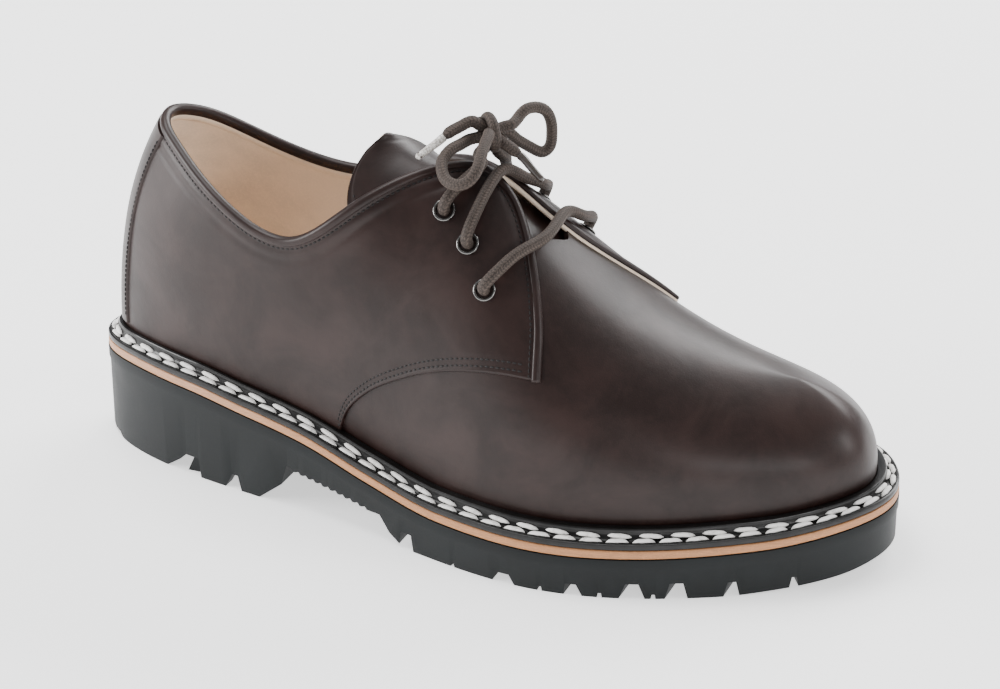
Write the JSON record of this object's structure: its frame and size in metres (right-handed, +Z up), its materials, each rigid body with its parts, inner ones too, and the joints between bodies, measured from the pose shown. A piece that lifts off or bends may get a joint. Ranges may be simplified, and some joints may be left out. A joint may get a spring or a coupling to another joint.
{
  "type": "derby shoe",
  "caption": "Low lace-up derby shoe for the right foot, with a leather upper, a stitched welt and a lugged rubber sole.",
  "frame": {"origin": "on the floor, under the middle of the sole's length and width", "axes": "+X towards the toe, +Y towards the inner (medial) side of the foot, +Z up"},
  "size_m": [0.292, 0.1101, 0.1404],
  "materials": {
    "rubber": "matt moulded black rubber",
    "midsole": "trimmed tan leather layer",
    "welt": "dyed black, waxed",
    "lining": "undyed, matt",
    "leather": "polished dark brown",
    "eyelet": "dark nickel",
    "lace": "braided round cord, grey-brown",
    "aglet": "clear plastic over the lace's end"
  },
  "bodies": {
    "root": {"outsole": "rubber", "midsole": "midsole", "welt": "welt", "insole": "lining", "upper": "leather", "tongue": "leather", "eyelet_lateral_1": "eyelet", "eyelet_lateral_2": "eyelet", "eyelet_lateral_3": "eyelet", "eyelet_medial_1": "eyelet", "eyelet_medial_2": "eyelet", "eyelet_medial_3": "eyelet", "lace_bar_1": "lace", "lace_bar_2": "lace", "lace_tail_lateral": "lace", "lace_tail_medial": "lace", "lace_knot": "lace", "lace_loop_left": "lace", "lace_loop_right": "lace", "lace_end_left": "lace", "lace_end_right": "lace", "aglet_left": "aglet", "aglet_right": "aglet"}
  },
  "joints": []
}
